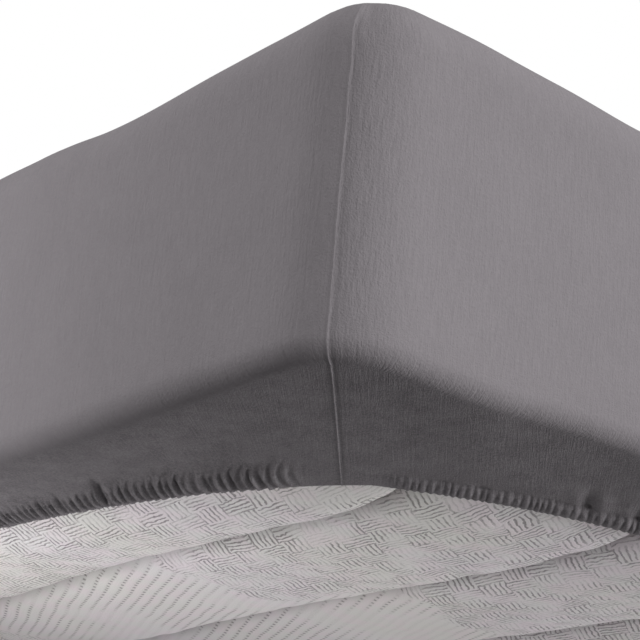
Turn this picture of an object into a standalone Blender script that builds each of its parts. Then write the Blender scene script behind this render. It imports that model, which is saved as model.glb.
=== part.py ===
"""Fitted sheet on a mattress.

One jersey panel with a dart sewn up at each corner is stretched over a foam
mattress. It turns in under the mattress on all sides, and an elastic in its hem
draws the edge in across the four corners and leaves the middle of the
mattress's underside bare.

Frame: metres, +Z up, origin on the surface the mattress lies on, under its
middle. X runs across the mattress, Y along it; the foot end faces -Y.
"""

import math

import bmesh
import bpy

# ------------------------------------------------------------------ sizes (m)
WIDTH = 1.0000          # outside of the sheet, across (X)
LENGTH = 2.0000         # outside of the sheet, along (Y)
HEIGHT = 0.2030         # surface to the highest part of the top
CORNER_R = 0.0440       # plan radius of the standing corners
TOP_EDGE_R = 0.0380     # rounding of the top edge
BOTTOM_EDGE_R = 0.0130  # rounding of the bottom edge

CLOTH_T = 0.0018        # jersey
HEM_T = 0.0030          # turned hem with the elastic drawn up in it
HEM_W = 0.0140          # width of the turned hem
HEM_INSET = 0.0880      # outside of the sheet to the hem's edge, underneath
HEM_CUT = 0.0700        # the hem's corner lies this much further in
HEM_REACH = 0.1000      # the hem swings out again over about this length
SEAM_RISE = 0.0012      # ridge of the corner seam
GAP = 0.0006            # cloth to mattress on the flats
EDGE_RELIEF = 0.0036    # the mattress's edges are rounder than the cloth's

CORNER_STEPS = 6        # facets of one standing corner
FOOT_STEPS = 12         # facets of a short side between its corners
SIDE_STEPS = 18         # facets of a long side between its corners
ARC_STEPS = 4           # facets of each rounded edge

# Soft dips of the foam under the stretched cloth, along the top edge.
# side: foot, right, head or left; at: metres from that side's right-hand end
# as seen from outside; half: half length of the dip; depth: at its lowest.
DIPS = [
    # side     at     half   depth
    ("foot",  0.210, 0.120, 0.0034),
    ("foot",  0.740, 0.170, 0.0030),
    ("right", 1.700, 0.140, 0.0026),
    ("right", 1.120, 0.260, 0.0034),
    ("right", 0.420, 0.200, 0.0022),
    ("head",  0.420, 0.200, 0.0036),
    ("left",  0.540, 0.240, 0.0038),
    ("left",  1.380, 0.210, 0.0026),
]
DIP_REACH = 0.1400      # how far a dip runs in over the top
CORNER_DROP = 0.0024    # the corner seams pull the four top corners down
CORNER_REACH = 0.1300   # over about this distance

# The drawn-up hem isn't an even line: waves of its distance from the edge.
# turns: whole waves round the opening; size: metres either way; shift: degrees.
HEM_WAVES = [
    # turns  size    shift
    (7,      0.0022, 20.0),
    (13,     0.0014, 75.0),
    (22,     0.0008, 10.0),
]

# Rings of the cloth between the end of a rounded edge and the middle of the top.
# inset: metres in from the outside; radius: plan radius of the ring's corners.
TOP_RINGS = [
    # inset  radius
    (0.0800, 0.0300),
    (0.1500, 0.0600),
    (0.3000, 0.1200),
    (0.4700, 0.0250),
]

# The bare belly of the mattress, which bulges out of the sheet's opening.
# past: metres in from the hem's edge; height: above the surface;
# waves: share of the hem's waves that it follows.
BELLY = [
    # past    height  waves
    (0.0060, 0.0033, 1.0),
    (0.0200, 0.0012, 0.6),
    (0.0450, 0.0000, 0.0),
]


# ------------------------------------------------------------------ plan rings
def side_fractions(steps):
    """Points along one side, a little closer together towards its ends."""
    return [k / steps - 0.075 * math.sin(2 * math.pi * k / steps) for k in range(1, steps)]


# The four corners in turn, each with the side that follows it.
CORNERS = [
    # sign x  sign y  first angle  steps of the side
    (1,      -1,     -90.0,       SIDE_STEPS),
    (1,       1,       0.0,       FOOT_STEPS),
    (-1,      1,      90.0,       SIDE_STEPS),
    (-1,     -1,     180.0,       FOOT_STEPS),
]


def closed(arcs):
    """Joins four corner arcs by straight sides into one ring of (x, y)."""
    points = []
    for i, (_, _, _, steps) in enumerate(CORNERS):
        points += arcs[i]
        (x0, y0), (x1, y1) = arcs[i][-1], arcs[(i + 1) % 4][0]
        points += [(x0 + (x1 - x0) * t, y0 + (y1 - y0) * t) for t in side_fractions(steps)]
    return points


def round_ring(inset, radius, seam=0.0):
    """A rectangle inset from the outside, with round corners.

    seam is the height of the ridge down the middle of each corner.
    """
    radius = max(radius, 0.0015)
    a, b = WIDTH / 2 - inset - radius, LENGTH / 2 - inset - radius
    arcs = []
    for sx, sy, first, _ in CORNERS:
        arc = []
        for k in range(CORNER_STEPS + 1):
            angle = math.radians(first + 90.0 * k / CORNER_STEPS)
            r = radius + (seam if 2 * k == CORNER_STEPS else 0.0)
            arc.append((sx * a + r * math.cos(angle), sy * b + r * math.sin(angle)))
        arcs.append(arc)
    return closed(arcs)


def hem_ring(past, waves):
    """The line of the hem, or one that runs a distance past it, further in."""
    inset, cut = HEM_INSET + past, HEM_CUT
    end = inset + cut + 2.2 * HEM_REACH
    half = CORNER_STEPS // 2

    def across(along):
        """How far in from its side the line runs, at a distance from the corner."""
        tail = math.exp(-2.2)
        return inset + cut * (math.exp(-(along - inset - cut) / HEM_REACH) - tail) / (1 - tail)

    arcs = []
    for i, (sx, sy, _, _) in enumerate(CORNERS):
        along = [inset + cut + (end - inset - cut) * (j / half) ** 1.4 for j in range(half + 1)]
        one = [(u, across(u)) for u in reversed(along)]
        two = [(across(u), u) for u in along[1:]]
        # One leg lies on the side before the corner, the other on the side after.
        legs = one + two if i % 2 == 0 else [(v, u) for u, v in one + two]
        arcs.append([(sx * (WIDTH / 2 - u), sy * (LENGTH / 2 - v)) for u, v in legs])
    ring = closed(arcs)
    return [pushed(ring, k, waves) for k in range(len(ring))]


def pushed(ring, k, waves):
    """One point of the hem's line, moved in or out by the hem's waves."""
    (x0, y0), (x, y), (x1, y1) = ring[k - 1], ring[k], ring[(k + 1) % len(ring)]
    tx, ty = x1 - x0, y1 - y0
    size = math.hypot(tx, ty)
    turn = 2 * math.pi * k / len(ring)
    push = waves * sum(s * math.sin(n * turn + math.radians(shift)) for n, s, shift in HEM_WAVES)
    return (x - push * ty / size, y + push * tx / size)


def under_ring(share):
    """Between the inner end of the bottom edge (0) and the hem's line (1)."""
    start = round_ring(BOTTOM_EDGE_R, CORNER_R - BOTTOM_EDGE_R)
    stop = hem_ring(0.0, 1.0)
    return [
        (x0 + (x1 - x0) * share, y0 + (y1 - y0) * share)
        for (x0, y0), (x1, y1) in zip(start, stop)
    ]


# ------------------------------------------------------------------ unevenness
def dip_at(x, y):
    """How far the top is pressed down at this point of the plan."""
    beyond = math.hypot(WIDTH / 2 - abs(x), LENGTH / 2 - abs(y)) / CORNER_REACH
    depth = CORNER_DROP * math.exp(-beyond * beyond)
    for side, at, half, most in DIPS:
        if side == "foot":
            along, inward = WIDTH / 2 - x, LENGTH / 2 + y
        elif side == "head":
            along, inward = WIDTH / 2 + x, LENGTH / 2 - y
        elif side == "right":
            along, inward = LENGTH / 2 - y, WIDTH / 2 - x
        else:
            along, inward = LENGTH / 2 + y, WIDTH / 2 + x
        u, v = (along - at) / half, max(inward, 0.0) / DIP_REACH
        if abs(u) < 1 and v < 1:
            depth += most * math.cos(0.5 * math.pi * u) ** 2 * (1 - v * v) ** 2
    return depth


def settle(x, y, z):
    """The height of a point once the dips press the upper part down."""
    share = min(max((z - 0.45 * HEIGHT) / (0.55 * HEIGHT), 0.0), 1.0)
    return z - dip_at(x, y) * share * share * (3 - 2 * share)


# ------------------------------------------------------------------ sections
def edge_arc(offset, radius, top, seam):
    """Rows of a rounded edge, from the top down, for a face that lies a little
    way in from the outside of the sheet. A row is (ring, height)."""
    rows = []
    for k in range(ARC_STEPS + 1):
        share = k / ARC_STEPS
        angle = math.radians(90.0 * (1 - share) if top else -90.0 * share)
        inset = offset + radius * (1 - math.cos(angle))
        base = HEIGHT - offset - radius if top else offset + radius
        ridge = seam * math.cos(angle)
        rows.append((round_ring(inset, CORNER_R - inset, ridge), base + radius * math.sin(angle)))
    return rows


def top_rows(offset):
    """Rows from the middle of the top out to where its edge begins to round."""
    return [(round_ring(inset, radius), HEIGHT - offset) for inset, radius in reversed(TOP_RINGS)]


def wall_rows(offset, relief, seam):
    """Rows from the middle of the top to the inner end of the bottom edge."""
    rows = top_rows(offset) + edge_arc(offset, TOP_EDGE_R - offset + relief, True, seam)
    rows += [(round_ring(offset, CORNER_R - offset, seam), 0.5 * HEIGHT)]
    return rows + edge_arc(offset, BOTTOM_EDGE_R - offset + relief, False, seam)


def sheet_rows():
    """The cloth's section: its outer face from the middle of the top down and
    under to the hem, then round the hem's edge and back along its inner face."""
    hem = 1 - HEM_W / (HEM_INSET - BOTTOM_EDGE_R)
    outer = wall_rows(0.0, 0.0, SEAM_RISE)
    outer += [(under_ring(s), 0.0) for s in (0.4, hem)]
    outer += [(hem_ring(-0.0008, 1.0), 0.0)]
    inner = [(hem_ring(0.0, 1.0), HEM_T / 2), (hem_ring(-0.0008, 1.0), HEM_T)]
    inner += [(under_ring(hem + 0.03), HEM_T), (under_ring(hem - 0.03), CLOTH_T)]
    inner += [(under_ring(0.4), CLOTH_T)]
    inner += reversed(wall_rows(CLOTH_T, 0.0, 0.0))
    return outer, inner


def mattress_rows():
    """The mattress's section, from the middle of its top to that of its belly."""
    offset = CLOTH_T + GAP
    hem = 1 - HEM_W / (HEM_INSET - BOTTOM_EDGE_R)
    rows = wall_rows(offset, EDGE_RELIEF, 0.0)
    rows += [(under_ring(0.4), offset), (under_ring(hem - 0.09), BELLY[0][1])]
    rows += [(hem_ring(past, waves), height) for past, height, waves in BELLY]
    rows += [(round_ring(inset, radius), 0.0) for inset, radius in TOP_RINGS[2:]]
    return rows, []


# ------------------------------------------------------------------ solids
def material(name, colour, roughness):
    made = bpy.data.materials.new(name)
    made.use_nodes = True
    shader = made.node_tree.nodes["Principled BSDF"]
    shader.inputs["Base Color"].default_value = (*colour, 1.0)
    shader.inputs["Roughness"].default_value = roughness
    shader.inputs["Metallic"].default_value = 0.0
    return made


def lofted(name, outer, inner, finish):
    """A closed solid through the rows' rings, with a flat face at each end.

    The outer rows and the inner rows that come back along them are split along
    the same diagonals, so that the two faces stay the same distance apart.
    """
    mesh = bmesh.new()
    loops = [[mesh.verts.new((x, y, settle(x, y, z))) for x, y in ring] for ring, z in outer + inner]
    for row, (first, second) in enumerate(zip(loops, loops[1:])):
        count = len(first)
        for k in range(count):
            n = (k + 1) % count
            if row < len(outer):
                mesh.faces.new((first[k], first[n], second[n]))
                mesh.faces.new((first[k], second[n], second[k]))
            else:
                mesh.faces.new((first[k], first[n], second[k]))
                mesh.faces.new((first[n], second[n], second[k]))
    mesh.faces.new(loops[0])
    mesh.faces.new(loops[-1])
    bmesh.ops.recalc_face_normals(mesh, faces=mesh.faces)
    data = bpy.data.meshes.new(name)
    mesh.to_mesh(data)
    mesh.free()
    data.shade_smooth()
    data.set_sharp_from_angle(angle=math.radians(40))
    made = bpy.data.objects.new(name, data)
    made.data.materials.append(finish)
    bpy.context.scene.collection.objects.link(made)
    return made


def main():
    for old in list(bpy.data.objects):
        bpy.data.objects.remove(old)
    jersey = material("jersey", (0.205, 0.197, 0.203), 0.92)
    ticking = material("ticking", (0.62, 0.60, 0.59), 0.90)
    lofted("fitted_sheet", *sheet_rows(), jersey)
    lofted("mattress", *mattress_rows(), ticking)


main()
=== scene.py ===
import math

import bpy
import numpy as np
from mathutils import Matrix, Vector


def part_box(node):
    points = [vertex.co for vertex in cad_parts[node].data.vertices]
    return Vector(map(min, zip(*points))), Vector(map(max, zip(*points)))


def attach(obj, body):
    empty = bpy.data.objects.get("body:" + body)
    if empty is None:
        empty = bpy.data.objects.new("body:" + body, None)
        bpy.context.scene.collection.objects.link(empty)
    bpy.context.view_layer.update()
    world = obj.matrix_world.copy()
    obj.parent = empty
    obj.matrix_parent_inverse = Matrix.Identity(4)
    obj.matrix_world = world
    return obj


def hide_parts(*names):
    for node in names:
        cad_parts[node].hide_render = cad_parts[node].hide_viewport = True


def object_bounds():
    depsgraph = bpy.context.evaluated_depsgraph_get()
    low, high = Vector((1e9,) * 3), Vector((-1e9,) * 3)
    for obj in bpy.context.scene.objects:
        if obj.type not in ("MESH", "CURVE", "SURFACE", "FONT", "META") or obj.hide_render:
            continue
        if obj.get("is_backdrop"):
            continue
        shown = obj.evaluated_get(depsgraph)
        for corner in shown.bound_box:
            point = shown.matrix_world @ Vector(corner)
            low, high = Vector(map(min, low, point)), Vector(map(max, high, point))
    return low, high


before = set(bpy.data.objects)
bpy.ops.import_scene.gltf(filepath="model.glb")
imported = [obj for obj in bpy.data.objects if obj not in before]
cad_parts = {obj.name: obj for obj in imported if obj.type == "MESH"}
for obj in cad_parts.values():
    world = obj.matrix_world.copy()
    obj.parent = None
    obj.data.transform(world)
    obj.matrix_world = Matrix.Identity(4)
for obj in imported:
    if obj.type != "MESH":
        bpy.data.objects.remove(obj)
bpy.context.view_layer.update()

# ---------------------------------------------------------------- sizes (m)
sheet_low, sheet_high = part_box("fitted_sheet")
WIDTH = sheet_high[0] - sheet_low[0]
LENGTH = sheet_high[1] - sheet_low[1]
HEIGHT = 0.2000          # of the top edge near the corners; the top crowns above it
CORNER_R = 0.0440
TOP_EDGE_R = 0.0380
HEM_INSET = 0.0885
HEM_CUT = 0.0700
HEM_REACH = (0.0920, 0.1150)      # long sides, then foot and head

# The four sides in turn, each from its first corner: corner, way along, way in.
SIDES = [
    # name     corner                    along          inward         length
    ("right", (WIDTH / 2, -LENGTH / 2), (0.0, 1.0),    (-1.0, 0.0),   LENGTH),
    ("head",  (WIDTH / 2, LENGTH / 2),  (-1.0, 0.0),   (0.0, -1.0),   WIDTH),
    ("left",  (-WIDTH / 2, LENGTH / 2), (0.0, -1.0),   (1.0, 0.0),    LENGTH),
    ("foot",  (-WIDTH / 2, -LENGTH / 2), (1.0, 0.0),   (0.0, 1.0),    WIDTH),
]


# ---------------------------------------------------------------- smooth noise
def hashed(ix, iy, seed):
    """A repeatable number from 0 to 1 for each lattice point."""
    n = (ix.astype(np.int64) * 374761393 + iy.astype(np.int64) * 668265263 + seed * 974711) & 0x7FFFFFFF
    n = ((n ^ (n >> 13)) * 1274126177) & 0x7FFFFFFF
    n = ((n ^ (n >> 16)) * 668265263) & 0x7FFFFFFF
    return (n & 0xFFFFFF) / float(0xFFFFFF)


def noise(x, y=0.0, seed=0):
    """Smooth noise from -1 to 1, one lump to each unit."""
    x, y = np.broadcast_arrays(np.asarray(x, float), np.asarray(y, float))
    ix, iy = np.floor(x), np.floor(y)
    fx, fy = x - ix, y - iy
    fx, fy = fx * fx * fx * (fx * (6 * fx - 15) + 10), fy * fy * fy * (fy * (6 * fy - 15) + 10)
    a, b = hashed(ix, iy, seed), hashed(ix + 1, iy, seed)
    c, d = hashed(ix, iy + 1, seed), hashed(ix + 1, iy + 1, seed)
    return 2 * ((a + (b - a) * fx) * (1 - fy) + (c + (d - c) * fx) * fy) - 1


def ramp(x, low, high):
    """0 below low, 1 above high, smooth between."""
    t = np.clip((np.asarray(x, float) - low) / (high - low), 0, 1)
    return t * t * (3 - 2 * t)


def bell(x, middle, half):
    """1 at middle, dying away over half."""
    return np.exp(-((np.asarray(x, float) - middle) / half) ** 2)


# ---------------------------------------------------------------- plan curves
ARC = CORNER_R * math.pi / 4    # from a seam to where the side runs straight


def wall_length(length):
    return length - 2 * CORNER_R + 2 * ARC


def wall_point(side, a, radius=CORNER_R, inset=0.0):
    """Plan point and outward normal at arc length a of a side's outside, from seam to seam."""
    _, (kx, ky), (tx, ty), (nx, ny), length = SIDES[side]
    total = wall_length(length)
    a = np.asarray(a, float)
    near = np.clip((ARC - a) / CORNER_R, 0, math.pi / 4)
    far = np.clip((a - total + ARC) / CORNER_R, 0, math.pi / 4)
    beta = near - far
    straight = np.clip(a - ARC, 0, total - 2 * ARC)
    u0 = CORNER_R + straight
    ou, ov = -np.sin(beta), -np.cos(beta)
    u = u0 + (CORNER_R - inset) * ou
    v = CORNER_R + (CORNER_R - inset) * ov
    px, py = kx + tx * u + nx * v, ky + ty * u + ny * v
    return px, py, tx * ou + nx * ov, ty * ou + ny * ov


def hem_table(length, reach, past=0.0):
    """The hem's line along one side, from corner to corner: arc length, along, in."""
    start = HEM_INSET + HEM_CUT + past
    u = np.linspace(start, length - start, 4001)
    v = HEM_INSET + past + HEM_CUT * (np.exp(-(u - start) / reach) + np.exp(-(length - start - u) / reach))
    t = np.concatenate([[0], np.cumsum(np.hypot(np.diff(u), np.diff(v)))])
    return t, u, v


HEMS = [hem_table(s[4], HEM_REACH[i % 2]) for i, s in enumerate(SIDES)]
SHEAR = 0.35


def wall_of_hem(side, t):
    """Arc length on the outside for an arc length along the hem: the cloth leans towards the corners."""
    total_t, total_a = HEMS[side][0][-1], wall_length(SIDES[side][4])
    e = lambda q: np.exp(-q / SHEAR)
    spread = (total_a - total_t) / 2
    return t + spread * (1 + (e(total_t - t) - e(t)) / (1 - e(total_t)))


# ---------------------------------------------------------------- columns
FINE = 16       # the finest columns at the hem for one column of the top


def densities(side, t, total):
    """Columns to the metre at the hem."""
    name = SIDES[side][0]
    far = 1 / 0.00150
    d = np.full_like(t, far)
    if name == "right":
        d += (1 / 0.00064 - far) * (1 - ramp(t, 0.26, 0.34))
    if name == "foot":
        d += (1 / 0.00076 - far) * (1 - ramp(total - t, 0.34, 0.42))
    d += (1 / 0.000045) * (bell(t, 0, 0.0015) + bell(t, total, 0.0015))
    d += (1 / 0.000170) * (bell(t, 0, 0.0050) + bell(t, total, 0.0050))
    return d


columns_t, columns_side = [], []
for side in range(4):
    total = HEMS[side][0][-1]
    grid = np.linspace(0, total, 60001)
    dens = densities(side, grid, total)
    cum = np.concatenate([[0], np.cumsum((dens[1:] + dens[:-1]) / 2 * np.diff(grid))])
    count = int(round(cum[-1] / FINE)) * FINE
    t = np.interp(np.arange(count) / count * cum[-1], cum, grid)
    columns_t.append(t)
    columns_side.append(np.full(count, side))
COL_T = np.concatenate(columns_t)
COL_SIDE = np.concatenate(columns_side)
COUNT = len(COL_T)


def per_side(function):
    """Evaluates function(side, mask) for each side's columns and puts the results together."""
    parts = [function(s, COL_SIDE == s) for s in range(4)]
    return [np.concatenate([p[i] for p in parts]) for i in range(len(parts[0]))]


HEM_SEAM = 0.0170       # the corner seams reach the hem this far to one side of its corners


def hem_point(s, t):
    """Plan point on the hem at arc length t of a side; before or past its ends it is on the next side along."""
    px, py = np.empty_like(t), np.empty_like(t)
    here = [(s, (t >= 0) & (t <= HEMS[s][0][-1]), t)]
    here.append(((s - 1) % 4, t < 0, t + HEMS[(s - 1) % 4][0][-1]))
    here.append(((s + 1) % 4, t > HEMS[s][0][-1], t - HEMS[s][0][-1]))
    for side, m, at in here:
        ht, hu, hv = HEMS[side]
        _, (kx, ky), (tx, ty), (nx, ny), _ = SIDES[side]
        u, v = np.interp(at[m], ht, hu), np.interp(at[m], ht, hv)
        px[m], py[m] = kx + tx * u + nx * v, ky + ty * u + ny * v
    return px, py


def base_columns(s, m):
    t = COL_T[m]
    total = HEMS[s][0][-1]
    _, _, (tx, ty), (nx, ny), length = SIDES[s]
    a = wall_of_hem(s, t)
    first, last = (-1, 1) if s % 2 == 0 else (1, -1)      # which way the two seams lie
    moved = t + HEM_SEAM * (first * bell(t, 0, 0.06) + last * bell(t, total, 0.06))
    seam = np.minimum(np.abs(moved - first * HEM_SEAM), np.abs(moved - total - last * HEM_SEAM))
    px, py = hem_point(s, moved)
    return (px, py, moved, seam, a, np.full_like(t, wall_length(length)), np.full_like(t, tx), np.full_like(t, ty),
            np.full_like(t, nx), np.full_like(t, ny))


(HEM_X, HEM_Y, HEM_T, HEM_OFF, COL_A, COL_AA, AL_X, AL_Y, IN_X, IN_Y) = per_side(base_columns)
# Signed distance along the outside from the nearest seam, and which corner that is.
NEAR_FIRST = COL_A < COL_AA / 2
FROM_SEAM = np.where(NEAR_FIRST, COL_A, COL_A - COL_AA)
CORNER = np.where(NEAR_FIRST, COL_SIDE, (COL_SIDE + 1) % 4)


# ---------------------------------------------------------------- gathers
def pleats(seed, length, pitch_of):
    """Edges of the gathers along a length, with pitch_of(position) the mean pitch there."""
    edges, at, k = [0.0], 0.0, 0
    while at < length:
        jitter = 1 + 0.34 * float(noise(k * 1.37 + 0.5, seed * 3.1, seed))
        at += float(pitch_of(at)) * jitter
        edges.append(at)
        k += 1
    return np.array(edges)


def pitch_for(side):
    name = SIDES[side][0]

    def pitch(t):
        if name == "right":
            return 0.0040 + 0.0014 * min(t / 0.15, 1.0)
        if name == "foot":
            return 0.0066
        return 0.0062 + 0.0008 * math.sin(9.0 * t)

    return pitch


PLEATS = [pleats(11 + s, HEMS[s][0][-1], pitch_for(s)) for s in range(4)]

# Larger puckers of the band above the hem. from_corner: metres along the hem
# from the corner of foot end and right side; start, reach: metres out from the
# hem; half: half width; depth: how far the cloth sinks in.
PUCKERS = [
    # side     from   start   reach   half    depth
    ("foot",  0.184, 0.006, 0.050, 0.0046, 0.0030),
    ("foot",  0.222, 0.006, 0.036, 0.0040, 0.0018),
    ("foot",  0.243, 0.006, 0.026, 0.0036, 0.0014),
    ("foot",  0.124, 0.007, 0.028, 0.0034, 0.0012),
    ("foot",  0.112, 0.006, 0.020, 0.0028, 0.0008),
    ("foot",  0.100, 0.006, 0.024, 0.0030, 0.0011),
    ("foot",  0.083, 0.005, 0.028, 0.0050, 0.0014),
    ("foot",  0.062, 0.004, 0.022, 0.0034, 0.0008),
    ("right", 0.128, 0.011, 0.046, 0.0050, 0.0022),
    ("right", 0.163, 0.011, 0.040, 0.0050, 0.0020),
    ("right", 0.062, 0.011, 0.024, 0.0040, 0.0008),
]


def slant_at(t, total):
    """How far the gathers lean away from the corner for each metre in, by place."""
    return 0.95 * np.tanh((total / 2 - t) / 0.09)


def ribbing(name, t, total):
    """How much the turned hem reads as a ribbed casing (1) or as loose gathers that run into the band (0)."""
    if name == "right":
        return 1 - 0.6 * ramp(t, 0.6, 1.2)
    if name == "foot":
        return 0.10 + 0.5 * ramp(total - t, 0.40, 0.55)
    return 0.5 + 0.4 * noise(t * 3.0, 1.0, 5)


CASING = 0.0165         # width of the turned hem that holds the elastic


def gathers(out, t, off, total, side, column_slant):
    """How far the cloth stands out (down) at a distance out from the hem."""
    s0 = slant_at(t, total)
    shift = s0 * (0.80 * out + 300.0 * out ** 3) - column_slant * out
    at = np.clip(t + shift, 0, total)
    edges = PLEATS[side]
    k = np.clip(np.searchsorted(edges, at, side="right") - 1, 0, len(edges) - 2)
    phase = (at - edges[k]) / (edges[k + 1] - edges[k])
    r1 = hashed(k, np.zeros_like(k), 31 + side)
    r2 = hashed(k, np.zeros_like(k) + 3, 57 + side)
    r3 = hashed(k, np.zeros_like(k) + 7, 83 + side)
    ribbed = ribbing(SIDES[side][0], t, total)
    # a loose fold has a sharp crest and hollow flanks, a rib is rounder; both lean to one side
    skew = 0.62 + 0.36 * r2
    leaned = np.clip(phase, 0, 1) ** skew
    sharp = (1 - np.abs(2 * leaned - 1)) ** 1.6
    crest = sharp * (1 - ribbed) + np.sin(math.pi * leaned) ** 1.7 * ribbed
    long_reach = 0.0370 + 0.0170 * r1 ** 1.4
    short_reach = 0.0168 + 0.0036 * r1
    reach = long_reach * (1 - ribbed) + short_reach * ribbed
    envelope = (0.35 + 0.65 * ramp(out, 0.0, 0.005)) * (1 - ramp(out, (0.45 + 0.22 * ribbed) * reach, reach))
    size = (0.00265 * (1 - ribbed) + 0.00115 * ribbed) * (0.78 + 0.44 * r3)
    gathered = ramp(off, 0.016, 0.042)
    relief = size * crest * envelope * gathered
    # the casing that holds the elastic, a soft round band
    casing = np.sin(math.pi * np.clip(out / CASING, 0, 1)) ** 0.7
    relief = relief + casing * (0.00020 + 0.00140 * ribbed) * (0.25 + 0.75 * gathered)
    relief = relief - 0.0008 * ribbed * bell(out, CASING + 0.0010, 0.0018) * gathered
    # longer, softer folds above it
    soft = noise(at / 0.017, out / 0.05, 71 + side) * ramp(out, 0.016, 0.034) * (1 - ramp(out, 0.040, 0.070))
    return relief + (0.0009 - 0.0005 * ribbed) * soft * gathered


def puckers(out, t, total, side, column_slant):
    found = np.zeros_like(t)
    name = SIDES[side][0]
    at = t + (slant_at(t, total) - column_slant) * out
    for where, frm, start, reach, half, depth in PUCKERS:
        if where != name:
            continue
        middle = total - frm if name == "foot" else frm
        along = np.clip((out - start) / (reach - start), 0, 1)
        shape = np.sin(math.pi * along ** 0.6) ** 0.8
        found += depth * bell(at, middle, half * (0.7 + 0.6 * along)) * shape
        found -= 0.45 * depth * bell(at, middle + 1.7 * half, half) * shape
        found -= 0.25 * depth * bell(at, middle - 1.7 * half, half) * shape
    # a few more, anywhere else round the opening
    if name in ("head", "left"):
        lump = noise(at / 0.035, 3.3, 91 + side)
        found += 0.0016 * ramp(lump, 0.35, 0.9) * np.sin(math.pi * np.clip(out / 0.04, 0, 1))
    return found


# ---------------------------------------------------------------- unevenness
# at: metres from the photographed corner along a side; the second number is in metres.
FOOT_EDGE = [(0.00, 0.0000), (0.02, -0.0004), (0.05, -0.0012), (0.08, -0.0012), (0.11, -0.0009), (0.14, -0.0010),
             (0.17, -0.0022), (0.20, -0.0034), (0.23, -0.0022), (0.26, 0.0004), (0.29, 0.0038), (0.32, 0.0048),
             (0.35, 0.0060), (0.38, 0.0056), (0.44, 0.0050), (0.55, 0.0038), (0.66, 0.0046), (0.76, 0.0024),
             (0.86, 0.0034), (1.00, 0.0)]
RIGHT_EDGE = [(0.00, 0.0002), (0.02, 0.0002), (0.05, 0.0015), (0.08, 0.0026), (0.11, 0.0021), (0.14, 0.0017),
              (0.17, -0.0008), (0.20, -0.0024), (0.24, -0.0018), (0.32, 0.0006), (0.50, 0.0036), (0.80, 0.0022),
              (1.10, 0.0040), (1.35, 0.0020), (1.60, 0.0044), (1.85, 0.0030), (2.00, 0.0)]
# How far the mattress's bottom edge stands up off the floor.
FOOT_LIFT = [(0.00, 0.0056), (0.03, 0.0054), (0.06, 0.0042), (0.12, 0.0038), (0.19, 0.0014), (0.26, 0.0006),
             (0.40, 0.0014), (0.60, 0.0034), (0.80, 0.0020), (1.00, 0.0046)]
RIGHT_LIFT = [(0.00, 0.0056), (0.05, 0.0056), (0.09, 0.0038), (0.13, 0.0060), (0.17, 0.0078), (0.20, 0.0082),
              (0.30, 0.0060), (0.55, 0.0030), (0.90, 0.0050), (1.30, 0.0024), (1.70, 0.0044), (2.00, 0.0046)]


def smooth_table(table, x, soft=0.022):
    xs, ys = np.array(table).T
    fine = np.linspace(xs[0], xs[-1], 600)
    vals = np.interp(fine, xs, ys)
    kernel = np.exp(-((np.arange(-20, 21) * (fine[1] - fine[0])) / soft) ** 2)
    vals = np.convolve(np.pad(vals, 20, mode="edge"), kernel / kernel.sum(), mode="valid")
    return np.interp(x, fine, vals)


def between_sides(x, y, foot, right, head, left):
    """Blends four edges' values by how near each edge is."""
    fx, fy, gx, gy = WIDTH / 2 - x, LENGTH / 2 + y, WIDTH / 2 + x, LENGTH / 2 - y
    wf, wr, wh, wl = (1 / (np.maximum(d, 0) + 0.02) ** 2 for d in (fy, fx, gy, gx))
    return (foot * wf + right * wr + head * wh + left * wl) / (wf + wr + wh + wl)


def top_rise(x, y):
    """How far the top stands over the height of its corners."""
    fx, fy, gx, gy = WIDTH / 2 - x, LENGTH / 2 + y, WIDTH / 2 + x, LENGTH / 2 - y
    head = 0.0030 + 0.0022 * noise(fx * 3.1, 1.0, 41) - 0.003 * (bell(fx, 0, 0.1) + bell(gx, 0, 0.1))
    left = 0.0030 + 0.0022 * noise(fy * 2.3, 2.0, 42) - 0.003 * (bell(fy, 0, 0.1) + bell(gy, 0, 0.1))
    edge = between_sides(x, y, smooth_table(FOOT_EDGE, fx), smooth_table(RIGHT_EDGE, fy), head, left)
    inner = np.minimum.reduce([fx, fy, gx, gy])
    crown = 0.0052 * ramp(inner, 0.03, 0.32)
    soft = 0.0009 * noise(x * 7.0, y * 5.0, 43) + 0.0005 * noise(x * 17.0, y * 13.0, 44)
    return edge * (1 - 0.5 * ramp(inner, 0.05, 0.35)) + crown + soft * ramp(inner, 0.02, 0.12)


def bottom_lift(x, y):
    """How far the underside's edge stands off the floor."""
    fx, fy = WIDTH / 2 - x, LENGTH / 2 + y
    head = 0.0034 + 0.0016 * noise(fx * 3.3, 3.0, 46)
    left = 0.0034 + 0.0016 * noise(fy * 2.1, 4.0, 47)
    return between_sides(x, y, smooth_table(FOOT_LIFT, fx), smooth_table(RIGHT_LIFT, fy), head, left)


def bottom_radius(side_foot, off):
    return 0.0110 + 0.0030 * side_foot * ramp(np.abs(off), 0.02, 0.16)


SEAM_LEAN = 0.0054


def seam_line(height):
    """How far the standing seam runs to one side of the middle of its corner, by height."""
    h = np.asarray(height, float) / HEIGHT
    return -SEAM_LEAN - 0.0022 * h + 0.0006 * noise(h * 9.0, 7.0, 61) + 0.0003 * noise(h * 23.0, 8.0, 62)


def seam_relief(off):
    """The ridge of the sewn dart and the slight groove on one side of it."""
    return 0.00036 * bell(off, 0, 0.00044) - 0.00020 * bell(off, 0.0018, 0.0012)


def edge_waves(x, y):
    return 0.0007 * noise(x * 9.0 + 3.0, y * 9.0, 51) + 0.0003 * noise(x * 24.0, y * 24.0, 52)


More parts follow.
